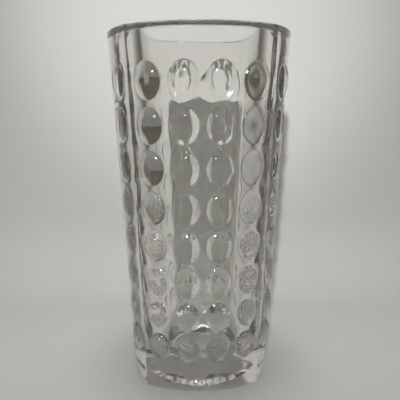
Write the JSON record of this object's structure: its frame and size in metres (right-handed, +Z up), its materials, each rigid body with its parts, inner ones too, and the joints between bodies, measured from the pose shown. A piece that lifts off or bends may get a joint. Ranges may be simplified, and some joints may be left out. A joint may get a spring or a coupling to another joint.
{
  "type": "mixing glass",
  "caption": "Tall tapered mixing glass of clear pressed glass: rounded-square outside with raised oval lenses, smooth round-square cavity and a thick solid base.",
  "frame": {"origin": "middle of the foot, on the surface that the glass stands on", "axes": "+Z up along the axis of the glass, -Y square to one of the two bulged faces with four columns of lenses, the upright ridges on the diagonals"},
  "size_m": [0.1034, 0.1042, 0.2],
  "materials": {
    "clear_glass": "clear fire-polished pressed glass with a faint grey tint"
  },
  "bodies": {
    "root": {"glass_body": "clear_glass"}
  },
  "joints": []
}
